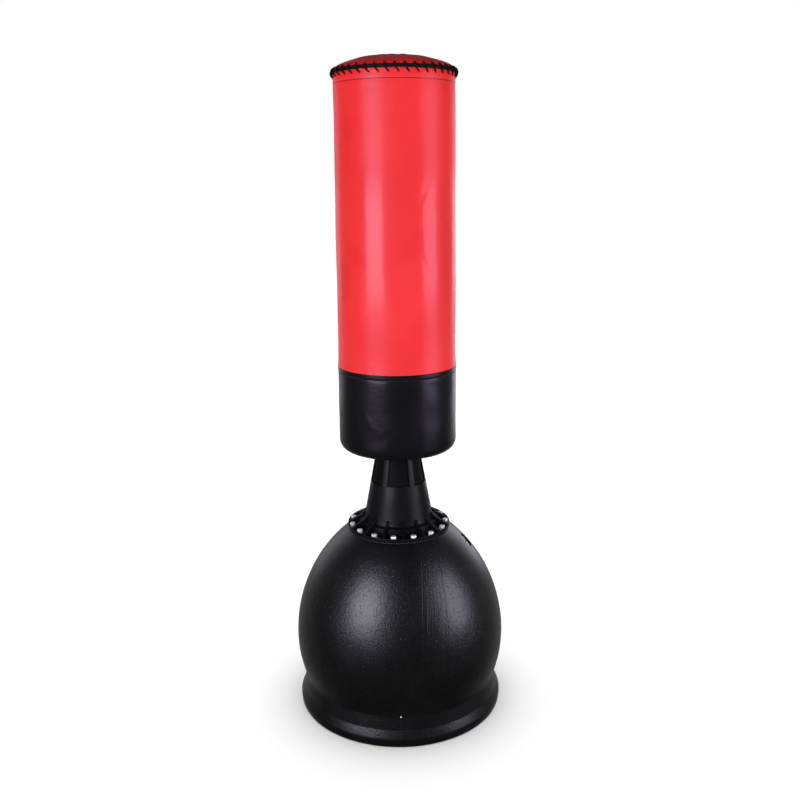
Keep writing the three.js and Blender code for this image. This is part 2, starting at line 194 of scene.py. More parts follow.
class Finish:
    def __init__(self, name, **sockets):
        self.material = bpy.data.materials.new(name)
        self.material.use_nodes = True
        self.tree = self.material.node_tree
        self.surface = self.tree.nodes["Principled BSDF"]
        for socket, value in sockets.items():
            self.surface.inputs[socket.replace("_", " ")].default_value = value
        self.coords = self.node("ShaderNodeTexCoord", out="Object")

    def node(self, kind, settings=None, inputs=None, out=0):
        made = self.tree.nodes.new(kind)
        for key, value in (settings or {}).items():
            setattr(made, key, value)
        for key, value in (inputs or {}).items():
            self.put(made.inputs[key], value)
        return Wire(self, made.outputs[out])

    def put(self, socket, value):
        if isinstance(value, Wire):
            self.tree.links.new(value.socket, socket)
        else:
            socket.default_value = value

    def axis(self, letter):
        return self.node("ShaderNodeSeparateXYZ", None, {"Vector": self.coords}, letter)

    def stretched(self, x, y, z):
        settings = {"operation": "MULTIPLY"}
        return self.node("ShaderNodeVectorMath", settings, {0: self.coords, 1: (x, y, z)})

    def noise(self, scale, detail=2.0, vector=None):
        inputs = {"Vector": vector or self.coords, "Scale": scale, "Detail": detail}
        return self.node("ShaderNodeTexNoise", None, inputs)

    def cells(self, scale, feature="F1"):
        inputs = {"Vector": self.coords, "Scale": scale}
        return self.node("ShaderNodeTexVoronoi", {"feature": feature}, inputs, "Distance")

    def blend(self, amount, low, high):
        settings = {"data_type": "RGBA", "blend_type": "MIX"}
        inputs = {0: amount, 6: (*low, 1) if isinstance(low, tuple) else low,
                  7: (*high, 1) if isinstance(high, tuple) else high}
        return self.node("ShaderNodeMix", settings, inputs, 2)

    def feed(self, socket, value):
        self.put(self.surface.inputs[socket], value)

    def bump(self, value, depth, strength=1.0, below=None):
        inputs = {"Height": value, "Distance": depth, "Strength": strength}
        if below is not None:
            inputs["Normal"] = below
        made = self.node("ShaderNodeBump", None, inputs)
        self.feed("Normal", made)
        return made


bpy.context.scene.view_settings.view_transform = "Standard"
print("shader helpers ready")

# %% [markdown]
# ## Room and floor
# The camera sees a white room. Reflections see one that is grey behind the object and almost black
# on the camera's side, by a ramp on the direction's Y. The floor is a wide pale sheet under one broad
# overhead lamp of its own, so it fades into the room and keeps a soft shadow under the base.

# %% World and floor
def make_world():
    world = bpy.data.worlds.new("studio")
    world.use_nodes = True
    bpy.context.scene.world = world
    tree = world.node_tree
    background = tree.nodes["Background"]
    direction = tree.nodes.new("ShaderNodeTexCoord")
    parts = tree.nodes.new("ShaderNodeSeparateXYZ")
    ramp = tree.nodes.new("ShaderNodeMapRange")
    ramp.interpolation_type = "SMOOTHSTEP"
    for name, value in (("From Min", 0.0), ("From Max", 0.98), ("To Min", 0.033), ("To Max", 0.34)):
        ramp.inputs[name].default_value = value
    seen = tree.nodes.new("ShaderNodeLightPath").outputs["Is Camera Ray"]
    choice = tree.nodes.new("ShaderNodeMath")
    choice.operation = "MAXIMUM"
    tree.links.new(direction.outputs["Generated"], parts.inputs[0])
    tree.links.new(parts.outputs["Y"], ramp.inputs["Value"])
    tree.links.new(ramp.outputs[0], choice.inputs[0])
    tree.links.new(seen, choice.inputs[1])
    tree.links.new(choice.outputs[0], background.inputs["Color"])


def make_floor():
    reach = 60.0
    corners = [(-reach, -reach, 0), (reach, -reach, 0), (reach, reach, 0), (-reach, reach, 0)]
    mesh = bpy.data.meshes.new("floor")
    mesh.from_pydata(corners, [], [(0, 1, 2, 3)])
    floor = bpy.data.objects.new("floor", mesh)
    bpy.context.scene.collection.objects.link(floor)
    paper = Finish("pale_paper", Roughness=0.9, Specular_IOR_Level=0.0)
    tone = paper.noise(1.3, 3.0)
    paper.feed("Base Color", paper.blend(tone, (0.79, 0.79, 0.79), (0.81, 0.81, 0.81)))
    mesh.materials.append(paper.material)
    floor.visible_glossy = False
    return floor


def light_floor(floor):
    """One overhead lamp for the floor alone, and no fill light on it."""
    only_floor = bpy.data.collections.new("only_floor")
    only_floor.objects.link(floor)
    data = bpy.data.lights.new("floor_light", "SUN")
    data.energy = 4.2
    data.angle = math.radians(75)
    lamp = bpy.data.objects.new("floor_light", data)
    lamp.light_linking.receiver_collection = only_floor
    bpy.context.scene.collection.objects.link(lamp)
    not_floor = bpy.data.collections.new("not_floor")
    not_floor.objects.link(floor)
    not_floor.collection_objects[0].light_linking.link_state = "EXCLUDE"
    for fill in FILL:
        fill.light_linking.receiver_collection = not_floor


make_world()
FLOOR = make_floor()
light_floor(FLOOR)
print("floor size:", FLOOR.dimensions.x, "m")

# %% [markdown]
# ## Outlines and turned bodies
# Most pieces here are round, so they are outlines carried round the Z axis. An outline is a short
# list of corners, and a corner with a third number is rounded to that radius. More sides are cheap
# here, so the polygons never show at the edge of a curve.

# %% Outline and lathe helpers
def rounded(corners, step=12):
    """(r, z) points from corners (r, z) or (r, z, rounding)."""
    points = []
    for i, corner in enumerate(corners):
        here = Vector(corner[:2])
        if len(corner) < 3 or i in (0, len(corners) - 1):
            points.append(tuple(here))
            continue
        before = Vector(corners[i - 1][:2]) - here
        after = Vector(corners[i + 1][:2]) - here
        turn = math.pi - before.angle(after)
        reach = corner[2] * math.tan(turn / 2)
        reach = min(reach, 0.48 * before.length, 0.48 * after.length)
        start = here + before.normalized() * reach
        end = here + after.normalized() * reach
        count = max(2, round(math.degrees(turn) / step))
        for k in range(count + 1):
            t = k / count
            points.append(tuple(start * (1 - t) ** 2 + here * 2 * t * (1 - t) + end * t ** 2))
    return points


def arc(r, z, size, start, end, count):
    angles = [math.radians(start + (end - start) * k / count) for k in range(count + 1)]
    return [(r + size * math.cos(a), z + size * math.sin(a)) for a in angles]


def arc_between(circle, inset, low, high, count):
    r, z, size = circle
    start, end = (math.degrees(math.asin((h - z) / (size - inset))) for h in (low, high))
    return arc(r, z, size - inset, start, end, count)


def filled_in(points, spacing):
    """The same outline with points added so that no gap is longer than spacing."""
    dense = []
    for a, b in zip(points, points[1:]):
        count = max(1, math.ceil(math.dist(a, b) / spacing))
        dense += [(a[0] + (b[0] - a[0]) * k / count, a[1] + (b[1] - a[1]) * k / count) for k in range(count)]
    return dense + [points[-1]]


def turned(name, profile, sides=160, shape=None, sharp=35):
    """A closed body from an outline in mm. The outline closes on itself unless both ends are on the axis.
    shape(angle, r, z) may return a changed (r, z), for dents, creases and scallops."""
    on_axis = profile[0][0] < 1e-6 and profile[-1][0] < 1e-6
    verts, rows = [], []
    for r, z in profile:
        if r < 1e-6:
            rows.append([len(verts)] * sides)
            verts.append((0, 0, z * MM))
            continue
        rows.append(list(range(len(verts), len(verts) + sides)))
        for k in range(sides):
            angle = 2 * math.pi * k / sides
            rr, zz = shape(angle, r, z) if shape else (r, z)
            verts.append((rr * MM * math.sin(angle), -rr * MM * math.cos(angle), zz * MM))
    pairs = list(zip(rows, rows[1:])) + ([] if on_axis else [(rows[-1], rows[0])])
    faces = []
    for low, high in pairs:
        for k in range(sides):
            n = (k + 1) % sides
            loop = [low[k], low[n], high[n], high[k]]
            face = [v for i, v in enumerate(loop) if v != loop[i - 1]]
            if len(face) > 2:
                faces.append(face)
    return finished(name, verts, faces, sharp)


def finished(name, verts, faces, sharp=35):
    mesh = bpy.data.meshes.new(name)
    mesh.from_pydata(verts, [], faces)
    body = bmesh.new()
    body.from_mesh(mesh)
    bmesh.ops.recalc_face_normals(body, faces=body.faces)
    body.to_mesh(mesh)
    body.free()
    mesh.shade_smooth()
    mesh.set_sharp_from_angle(angle=math.radians(sharp))
    made = bpy.data.objects.new(name, mesh)
    bpy.context.scene.collection.objects.link(made)
    return made


def dress(piece, finish, body, replaces=()):
    """Gives a piece its finish and its body, and hides what it stands for."""
    piece.data.materials.clear()
    piece.data.materials.append(finish.material)
    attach(piece, body)
    if replaces:
        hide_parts(*replaces)
    print(f"{piece.name}: {len(piece.data.polygons)} faces on {body}")
    return piece


def uneven(place, size, depth):
    """A smooth random height in mm for a point in mm, for surfaces that are never quite true."""
    return depth * noise.noise(Vector(place) / size)


def plain(piece):
    """Turns a piece with modifiers into a plain mesh, and removes the modifiers."""
    evaluated = piece.evaluated_get(bpy.context.evaluated_depsgraph_get())
    mesh = bpy.data.meshes.new_from_object(evaluated)
    piece.modifiers.clear()
    piece.data = mesh
    return piece


def soften(piece, width, segments, turn, sharp=None):
    """Bevels, by a width in mm, the edges that turn by more than so many degrees."""
    edge = piece.modifiers.new("edges", "BEVEL")
    edge.width = width * MM
    edge.segments = segments
    edge.limit_method = "ANGLE"
    edge.angle_limit = math.radians(turn)
    plain(piece)
    piece.data.shade_smooth()
    if sharp is not None:
        piece.data.set_sharp_from_angle(angle=math.radians(sharp))
    return piece


print("outline helpers ready")

# %% [markdown]
# ## Finish: blow-moulded tank
# Polyethylene blown into a sand-blasted mould comes out satin, with an orange-peel skin, a few pits
# and faint upright drag marks. The mould's two halves leave a thin parting line: a narrow ridge in
# the bump wherever the skin meets one upright plane. A shorter line runs below the waist's plug.

# %% Tank finish
PARTING_TURN, PARTING_OFFSET = math.radians(14.7), 0.0592

def tank_finish():
    made = Finish("satin_black_polyethylene", Specular_IOR_Level=0.4)
    peel = made.noise(190, 3.0)
    pits = made.cells(105).between(0.05, 0.24)
    soft = made.noise(24, 2.0)
    drag = made.noise(1.0, 2.0, made.stretched(150, 150, 5))
    x, y = made.axis("X"), made.axis("Y")
    across = x * math.cos(PARTING_TURN) + y * math.sin(PARTING_TURN)
    line = abs(across - PARTING_OFFSET).between(0.0004, 0.0012, 1.0, 0.0)
    line = line + abs(x).between(0.0004, 0.001, 0.7, 0.0) * made.axis("Z").between(0.07, 0.08, 1.0, 0.0)
    scrape = made.noise(1.0, 1.0, made.stretched(330, 0, 2.2)).between(0.52, 0.75)
    scrape = scrape * abs(x - 0.085).between(0.02, 0.045, 1.0, 0.0) * y.between(-0.1, 0.0, 1.0, 0.0)
    made.bump(peel * 0.5 + pits * 0.45 + soft * 0.8 + drag * 0.35 + line * 1.2 + scrape * 0.4, 0.0014, 0.55)
    dust = made.noise(9, 4.0)
    black, grey = (0.0026, 0.0026, 0.003), (0.0048, 0.0048, 0.0052)
    made.feed("Base Color", made.blend(dust.between(0.45, 0.8), black, grey))
    made.feed("Roughness", 0.3 + soft * 0.05 + drag * 0.06 + line * 0.05)
    return made


TANK = tank_finish()
print(TANK.material.name, len(TANK.tree.nodes), "nodes")

# %% [markdown]
# ## Base tank
# The outline starts under the floor hollow, stands on a ring, rises through the foot roll and an
# easy slope to the waist's groove, then follows two arcs over the belly and the dome to the
# collar. The inside is a wall's thickness in. The filling pocket is cut with Boolean modifiers,
# because it enters the dome at a slant where no outline can describe it.

# %% Base tank outline
DOME = (-100.1, 196.3, 382.85)
BELLY = (-38.2, 196.3, 320.95)
WALL = 6
MOUTH_R = 105
COLLAR_R = 136

def tank_profile():
    outside = rounded([
        (0, 14), (226, 14, 8), (238, 0, 3), (276.8, 0, 6), (278.8, 21, 17), (268.8, 43.5, 5),
        (267.2, 53, 5), (265.2, 64, 6), (262.4, 79, 7), (264.2, 91.5),
    ])
    outside += filled_in(arc_between(BELLY, 0, 92, BELLY[1], 12)
                         + arc_between(DOME, 0, BELLY[1], 494, 35)[1:], 9)
    outside += rounded([outside[-1], (COLLAR_R + 1, 496.2, 0.8), (COLLAR_R, COLLAR_TOP, 0.4),
                        (MOUTH_R, COLLAR_TOP, 1), (MOUTH_R, 481)])[1:]
    inside = arc_between(DOME, WALL, BELLY[1], 475, 12)[::-1]
    inside += arc_between(BELLY, WALL, 96, BELLY[1], 5)[::-1][1:]
    inside += [(256, 60), (268, 24), (267, WALL), (241, WALL), (230, 14 + WALL), (0, 14 + WALL)]
    return outside + inside


def tank_shape(angle, r, z):
    swell = uneven((r * math.sin(angle), r * math.cos(angle), z), 70, 0.5) if 60 < z < 478 and r > 150 else 0
    return r + swell, z


tank = turned("base_tank_skin", tank_profile(), 192, tank_shape)
print("tank outline points:", len(tank_profile()))

# %% Filling pocket
PORT_Z = 452
port_reach = math.sqrt(DOME[2] ** 2 - (PORT_Z - DOME[1]) ** 2)
PORT = Matrix.Translation(((DOME[0] + port_reach) * MM, 0, PORT_Z * MM)) @ Matrix.Rotation(
    math.atan2(port_reach, PORT_Z - DOME[1]), 4, "Y")

def at_port(piece):
    piece.data.transform(PORT)
    return piece


def cut(piece, tool, operation="DIFFERENCE"):
    step = piece.modifiers.new("cut", "BOOLEAN")
    step.operation = operation
    step.solver = "EXACT"
    step.object = tool
    plain(piece)
    bpy.data.objects.remove(tool)


POCKET_R, BORE_R = 21, 10.5
boss_line = rounded([(0, -19), (26, -19, 2), (26, -1.2), (0, -1.2)])
pocket_line = rounded([(0, -14), (POCKET_R, -14, 2.5), (POCKET_R, -1.6), (24, 1), (24, 12), (0, 12)])
spout_line = rounded([(BORE_R, -16), (14, -16), (14, -7, 0.8), (BORE_R, -7, 0.8)])
bore_line = [(0, -26), (BORE_R, -26), (BORE_R, -11), (0, -11)]
cut(tank, at_port(turned("boss", boss_line, 64)), "UNION")
cut(tank, at_port(turned("pocket", pocket_line, 64)))
cut(tank, at_port(turned("spout", spout_line, 48)), "UNION")
cut(tank, at_port(turned("bore", bore_line, 48)))
tank.data.set_sharp_from_angle(angle=math.radians(35))
dress(tank, TANK, "base", ["base_tank"])

# %% [markdown]
# ## Moulding marks on the foot
# Blow moulds leave small marks: two short upright witness lines on the foot roll and a pale plug at
# the waist. They are real bumps, less than a millimetre high, so they catch the light. The witness
# lines are also coloured light grey, far lighter than the tank: a painted highlight along them.

# %% Moulding marks
def make_witness_lines():
    verts, faces = [], []
    for degrees in (37.6, 39.9):
        angle = math.radians(degrees)
        outward = Vector((math.sin(angle), -math.cos(angle), 0))
        side = Vector((math.cos(angle), math.sin(angle), 0))
        base = len(verts)
        for r, z in ((277.6, 8), (277.5, 17), (275.0, 28), (269.6, 41)):
            for across, out in ((-0.9, -0.8), (-0.5, 0.7), (0.5, 0.7), (0.9, -0.8)):
                verts.append(outward * (r + out) * MM + side * across * MM + Vector((0, 0, z * MM)))
        for row in range(3):
            for k in range(4):
                n = (k + 1) % 4
                a = base + 4 * row
                faces.append((a + k, a + n, a + 4 + n, a + 4 + k))
        faces += [(base, base + 1, base + 2, base + 3), tuple(base + 12 + k for k in (3, 2, 1, 0))]
    return finished("witness_lines", verts, faces, 50)


# Light grey for the witness lines: a painted highlight on their ridges.
PAINTED_HIGHLIGHT_GREY = Finish("polyethylene_painted_highlight", Roughness=0.5)
PAINTED_HIGHLIGHT_GREY.feed("Base Color", PAINTED_HIGHLIGHT_GREY.blend(PAINTED_HIGHLIGHT_GREY.noise(500, 3.0), (0.02, 0.02, 0.021), (0.09, 0.09, 0.095)))
dress(make_witness_lines(), PAINTED_HIGHLIGHT_GREY, "base")

PLUG = Finish("pale_nylon_plug", Roughness=0.45)
PLUG.feed("Base Color", PLUG.blend(PLUG.noise(900, 2.0), (0.62, 0.62, 0.6), (0.8, 0.8, 0.78)))
plug = turned("waist_plug", rounded([(0, -2), (2.0, -2), (2.0, 0.5, 0.5), (0, 0.9)]), 24)
plug.data.transform(Matrix.Translation((0.0005, -0.2626, 0.0785)) @ Matrix.Rotation(math.radians(90), 4, "X"))
dress(plug, PLUG, "base")

# %% [markdown]
# ## Finish: neck moulding, inner cone, bolts and small parts
# The neck is injection-moulded, so its skin is finer and a little lighter than the tank's. The inner
# cone is steel with a powder coat. The bolts are zinc-plated: bright, with faint cloudy patches.

# %% Neck, steel and zinc finishes
def neck_finish():
    made = Finish("satin_black_nylon", Specular_IOR_Level=0.1)
    grain = made.noise(700, 2.0)
    flow = made.noise(1.0, 3.0, made.stretched(60, 60, 16))
    made.bump(grain * 0.5 + flow * 0.6, 0.0004, 0.45)
    made.feed("Base Color", made.blend(flow, (0.0036, 0.0036, 0.0042), (0.0062, 0.0062, 0.0072)))
    made.feed("Roughness", 0.32 + grain * 0.06 + flow * 0.06)
    return made


def powder_coat():
    made = Finish("black_powder_coat", Specular_IOR_Level=0.04)
    grain = made.noise(900, 2.0)
    made.bump(grain, 0.0003, 0.4)
    made.feed("Base Color", made.blend(grain, (0.002, 0.002, 0.0023), (0.0042, 0.0042, 0.0046)))
    made.feed("Roughness", 0.5 + grain * 0.12)
    return made


def zinc_plate():
    made = Finish("bright_zinc", Metallic=0.3)
    cloud = made.noise(130, 3.0)
    scratch = made.noise(1.0, 2.0, made.stretched(2200, 260, 400))
    made.bump(scratch * 0.4 + cloud * 0.6, 0.0002, 0.35)
    made.feed("Base Color", made.blend(cloud, (0.84, 0.89, 0.93), (0.95, 0.97, 0.98)))
    made.feed("Roughness", 0.29 + cloud * 0.1)
    return made


NECK, STEEL, ZINC = neck_finish(), powder_coat(), zinc_plate()
print("finishes:", NECK.material.name, STEEL.material.name, ZINC.material.name)

# %% [markdown]
# ## Neck cone
# One turned outline gives the flange, its raised lip, the step at the cone's foot and the hollow
# cone. Six wedges are cut out near the top, which leaves six posts with parallel sides. A small
# bevel after the cut rounds the edges, as a mould tool would.

# %% Neck cone
NECK_TOP_R, NECK_TOP_Z, TAPER = 56, 722, 0.184
LEDGE_Z, WINDOW_TOP = 629, 726
POSTS, POST_WIDTH = 6, 14
SEAT_Z, LIP_TOP = 504.2, 510.5
CORE_INSET = 4.3
NECK_WALL = 4
PLATE_R, PLATE_TOP = 121, FLANGE_LOW + 3

def neck_radius(z):
    return NECK_TOP_R + (NECK_TOP_Z - z) * TAPER


def neck_profile():
    inner_low = PLATE_TOP + 0.3
    return rounded([
        (PLATE_R + 0.3, FLANGE_LOW), (FLANGE_R, FLANGE_LOW, 0.8), (FLANGE_R, LIP_TOP, 1.1),
        (FLANGE_R - 1.8, LIP_TOP, 0.8), (FLANGE_R - 1.9, SEAT_Z, 0.8), (105.5, SEAT_Z, 1.2),
        (104, 522.5, 2.4), (neck_radius(526) + 2, 526.5, 2), (neck_radius(534), 534, 4),
        (neck_radius(580), 580),
        (neck_radius(NECK_END), NECK_END, 0.8), (neck_radius(NECK_END) - NECK_WALL, NECK_END),
        (neck_radius(580) - NECK_WALL, 580), (neck_radius(inner_low) - NECK_WALL, inner_low),
        (PLATE_R + 0.3, inner_low), (PLATE_R + 0.3, FLANGE_LOW),
    ])


def window_wedge(angle):
    half = math.pi / POSTS
    apex = POST_WIDTH / 2 / math.sin(half)
    plan = [(0, -apex), (120 * math.sin(half), -apex - 120 * math.cos(half)),
            (-120 * math.sin(half), -apex - 120 * math.cos(half))]
    verts = [(x * MM, y * MM, z * MM) for z in (LEDGE_Z, WINDOW_TOP) for x, y in plan]
    faces = [(0, 1, 2), (5, 4, 3), (0, 3, 4, 1), (1, 4, 5, 2), (2, 5, 3, 0)]
    wedge = finished("window", verts, faces)
    wedge.data.transform(Matrix.Rotation(angle, 4, "Z"))
    return wedge


neck = turned("neck_moulding", neck_profile()[:-1], 144)
for k in range(POSTS):
    cut(neck, window_wedge(2 * math.pi * k / POSTS))
soften(neck, 0.7, 2, 50, 30)
dress(neck, NECK, "base", ["neck_cone"])

core = turned("core_cone_skin", rounded([
    (0, FLANGE_LOW), (PLATE_R, FLANGE_LOW), (PLATE_R, PLATE_TOP), (neck_radius(503) - CORE_INSET, PLATE_TOP),
    (neck_radius(CORE_TOP) - CORE_INSET, CORE_TOP, 2), (0, CORE_TOP),
]), 128)
dress(core, STEEL, "base", ["core_cone"])

# %% [markdown]
# ## Repeating pieces round a circle
# Bolts, gusset ribs, stitches and cord all repeat round the Z axis, so one Geometry Nodes tree serves
# them. It puts a part on each point of a circle, turns it to face outwards, and can spin each copy
# by a random angle with a fixed seed, because nobody lines up bolt heads. The tree ends in Realize
# Instances and Set Material, and the result becomes a plain mesh.

# %% Geometry Nodes: a ring of parts
def ring_tree():
    tree = bpy.data.node_groups.new("ring_of_parts", "GeometryNodeTree")
    def entry(name, kind, value=None):
        socket = tree.interface.new_socket(name, in_out="INPUT", socket_type=kind)
        if value is not None:
            socket.default_value = value
        return socket
    tree.interface.new_socket("Geometry", in_out="OUTPUT", socket_type="NodeSocketGeometry")
    entry("Part", "NodeSocketObject")
    entry("Count", "NodeSocketInt", 15)
    entry("Radius", "NodeSocketFloat", 0.1)
    entry("Height", "NodeSocketFloat", 0.0)
    entry("First Angle", "NodeSocketFloat", 0.0)
    entry("Spin", "NodeSocketFloat", 0.0)
    entry("Seed", "NodeSocketInt", 7)
    entry("Material", "NodeSocketMaterial")
    nodes, link = tree.nodes, tree.links.new
    given = nodes.new("NodeGroupInput").outputs
    result = nodes.new("NodeGroupOutput").inputs
    def maths(operation, first, second):
        made = nodes.new("ShaderNodeMath")
        made.operation = operation
        for slot, value in zip(made.inputs, (first, second)):
            if isinstance(value, (int, float)):
                slot.default_value = value
            else:
                link(value, slot)
        return made.outputs[0]
    points = nodes.new("GeometryNodePoints")
    link(given["Count"], points.inputs["Count"])
    index = nodes.new("GeometryNodeInputIndex").outputs[0]
    share = maths("DIVIDE", index, given["Count"])
    angle = maths("ADD", maths("MULTIPLY", share, 2 * math.pi), given["First Angle"])
    place = nodes.new("ShaderNodeCombineXYZ")
    link(maths("MULTIPLY", maths("SINE", angle, 0.0), given["Radius"]), place.inputs["X"])
    forwards = maths("MULTIPLY", given["Radius"], -1.0)
    link(maths("MULTIPLY", maths("COSINE", angle, 0.0), forwards), place.inputs["Y"])
    link(given["Height"], place.inputs["Z"])
    link(place.outputs[0], points.inputs["Position"])
    facing = nodes.new("ShaderNodeCombineXYZ")
    link(angle, facing.inputs["Z"])
    spin = nodes.new("FunctionNodeRandomValue")
    spin.data_type = "FLOAT"
    link(maths("MULTIPLY", given["Spin"], -1.0), spin.inputs[2])
    link(given["Spin"], spin.inputs[3])
    link(given["Seed"], spin.inputs["Seed"])
    own_turn = nodes.new("ShaderNodeCombineXYZ")
    link(spin.outputs[1], own_turn.inputs["Z"])
    part = nodes.new("GeometryNodeObjectInfo")
    part.transform_space = "ORIGINAL"
    link(given["Part"], part.inputs["Object"])
    copies = nodes.new("GeometryNodeInstanceOnPoints")
    link(points.outputs[0], copies.inputs["Points"])
    link(part.outputs["Geometry"], copies.inputs["Instance"])
    link(facing.outputs[0], copies.inputs["Rotation"])
    turn = nodes.new("GeometryNodeRotateInstances")
    link(copies.outputs[0], turn.inputs["Instances"])
    link(own_turn.outputs[0], turn.inputs["Rotation"])
    real = nodes.new("GeometryNodeRealizeInstances")
    link(turn.outputs[0], real.inputs[0])
    coat = nodes.new("GeometryNodeSetMaterial")
    link(real.outputs[0], coat.inputs["Geometry"])
    link(given["Material"], coat.inputs["Material"])
    link(coat.outputs[0], result["Geometry"])
    return tree


RING = ring_tree()

def ring_of(name, part, finish, **inputs):
    """One plain mesh of copies of a part, which stands at the front with its outside towards -Y."""
    made = bpy.data.objects.new(name, bpy.data.meshes.new(name))
    bpy.context.scene.collection.objects.link(made)
    step = made.modifiers.new("ring", "NODES")
    step.node_group = RING
    values = {"Part": part, "Material": finish.material, **inputs}
    for item in RING.interface.items_tree:
        if item.in_out == "INPUT" and item.name in values:
            step[item.identifier] = values[item.name]
    plain(made)
    bpy.data.objects.remove(part)
    return made


print("ring tree nodes:", len(RING.nodes))

# %% [markdown]
# ## Flange bolts
# Each is an M8 flange bolt: a hexagon with chamfered corners on a round washer face. The head is
# turned with six sides and joined to its washer, and the ring tree copies it fifteen times.

# %% Flange bolts
BOLTS, BOLT_CIRCLE, FIRST_BOLT = 15, 126.2, math.radians(-6.5)

def bolt_head():
    hexagon_line = [(0, 1), (7.6, 1), (7.8, 1.6), (7.8, 9.4), (6.8, 10.8), (0, 10.8)]
    face_line = [(0, -9), (3.9, -9), (3.9, 0.3), (8.9, 0.3, 0.4), (8.8, 1.6, 0.5), (6.9, 2.6), (0, 2.6)]
    hexagon = turned("hexagon", hexagon_line, 6, sharp=20)
    face = turned("washer_face", rounded(face_line), 40)
    cut(face, hexagon, "UNION")
    return soften(face, 0.25, 2, 28, 24)


bolts = ring_of("flange_bolts", bolt_head(), ZINC, **{
    "Count": BOLTS, "Radius": BOLT_CIRCLE * MM, "Height": SEAT_Z * MM,
    "First Angle": FIRST_BOLT, "Spin": 0.5})
dress(bolts, ZINC, "base", [f"flange_bolt_{i + 1:02d}" for i in range(BOLTS)])

# %% [markdown]
# ## Gusset ribs
# A rib stands midway between each pair of bolts and ties the cone to the flange's lip. It is a side
# outline given a width, with rounded edges and a blunt top end where it meets the cone.

# %% Gusset ribs
def rib():
    low, high = 504, 541
    side = [(87, low), (87, high), (94, high - 1), (102, 530), (FLANGE_R - 5, 513),
            (FLANGE_R - 1, 510), (FLANGE_R - 1, low)]
    half = 4
    verts = [(x * MM, -r * MM, z * MM) for x in (-half, half) for r, z in side]
    n = len(side)
    faces = [tuple(range(n)), tuple(range(2 * n - 1, n - 1, -1))]
    faces += [(k, k + n, (k + 1) % n + n, (k + 1) % n) for k in range(n)]
    return soften(finished("rib", verts, faces), 1.5, 4, 20)


ribs = ring_of("flange_ribs", rib(), NECK, **{
    "Count": BOLTS, "Radius": 0.0, "First Angle": FIRST_BOLT + math.pi / BOLTS})
dress(ribs, NECK, "base")

# %% [markdown]
# ## Filling cap
# A bottle-type cap closes the spout inside the pocket, a few millimetres below the dome's skin. Its
# edge is ribbed for the fingers and its top has a cross-shaped slot for a coin or a screwdriver.

# %% Filling cap
GLOSS = Finish("gloss_black_cap", Roughness=0.2)
speck = GLOSS.noise(600, 2.0)
GLOSS.bump(speck, 0.0002, 0.3)
GLOSS.feed("Base Color", GLOSS.blend(speck, (0.006, 0.006, 0.0065), (0.012, 0.012, 0.0125)))

def knurl(angle, r, z):
    return (r + 0.35 * math.cos(36 * angle), z) if r > 16.3 else (r, z)


def bar_tool(long, wide):
    x, y = long / 2 * MM, wide / 2 * MM
    verts = [(a * x, b * y, c * MM) for c in (-4.6, 1) for a, b in ((-1, -1), (1, -1), (1, 1), (-1, 1))]
    faces = [(3, 2, 1, 0), (4, 5, 6, 7), (0, 1, 5, 4), (1, 2, 6, 5), (2, 3, 7, 6), (3, 0, 4, 7)]
    return finished("slot_tool", verts, faces)


cap = turned("filling_cap_skin", rounded([
    (0, -5), (14.5, -5), (14.5, -12.6), (16.6, -12.6, 0.4), (16.6, -3.4, 0.9), (0, -3.2)]), 216, knurl)
for long, wide in ((24, 5), (5, 24)):
    cut(cap, bar_tool(long, wide))
at_port(cap)
cap.data.set_sharp_from_angle(angle=math.radians(35))
dress(cap, GLOSS, "filling_cap", ["fill_cap"])

# %% [markdown]
# ## Finish: leathercloth
# The covers are PVC-coated cloth. Close up it has a fine pebble grain and a clear, slightly sticky
# gloss; further off the light shows gentle tension ripples. One function makes all three colours:
# `rough` and `shine` set how mirror-like the cloth is, `ripple` sets how wavy it is, and a band of
# heights can be given a glossier coat than the rest. At the height `hem` the colour is darkened to a
# thin, nearly black line of painted shade, standing in for the shade in a sewn seam's groove.

# %% Leathercloth finish
def leathercloth(name, dark, light, rough, ripple, band=None, hem=None, shine=0.13,
                 tint=(0.95, 0.84, 1, 1)):
    made = Finish(name, Specular_IOR_Level=shine, Specular_Tint=tint, Coat_Roughness=0.06, Coat_IOR=1.45)
    grain = made.cells(1150, "SMOOTH_F1")
    fine = made.noise(2400, 2.0)
    waves = made.noise(1.0, 3.0, made.stretched(26, 26, 60))
    dimple = made.noise(1.0, 2.0, made.stretched(70, 70, 150)) + made.noise(240, 2.0) * 0.35
    first = made.bump(grain * 0.5 + fine * 0.2, 0.00025, 0.3)
    made.bump(waves + dimple * 0.35, 0.0012 * ripple, 0.5, first)
    cloud = made.noise(6, 3.0)
    colour = made.blend(cloud.between(0.3, 0.7), dark, light)
    # hem is the height of a sewn seam. A thin line of painted shade goes there: the colour drops to an eighth
    # of the dark tone.
    if hem is not None:
        line = abs(made.axis("Z") - hem * MM).between(0.0006, 0.0016, 0.75, 0.0)
        colour = made.blend(line, colour, tuple(c * 0.12 for c in dark))
    made.feed("Base Color", colour)
    polish = made.noise(18, 3.0) * 0.07
    if band is None:
        made.feed("Roughness", rough + polish)
        made.feed("Coat Weight", cloud * 0.06)
        return made
    low, high, soft = band
    z = made.axis("Z")
    inside = z.between(low - soft, low + soft) * z.between(high - soft, high + soft, 1.0, 0.0)
    made.feed("Roughness", rough + polish - inside * 0.05)
    made.feed("Coat Weight", inside * 0.15)
    return made


SEAM_Z = RIM - 26
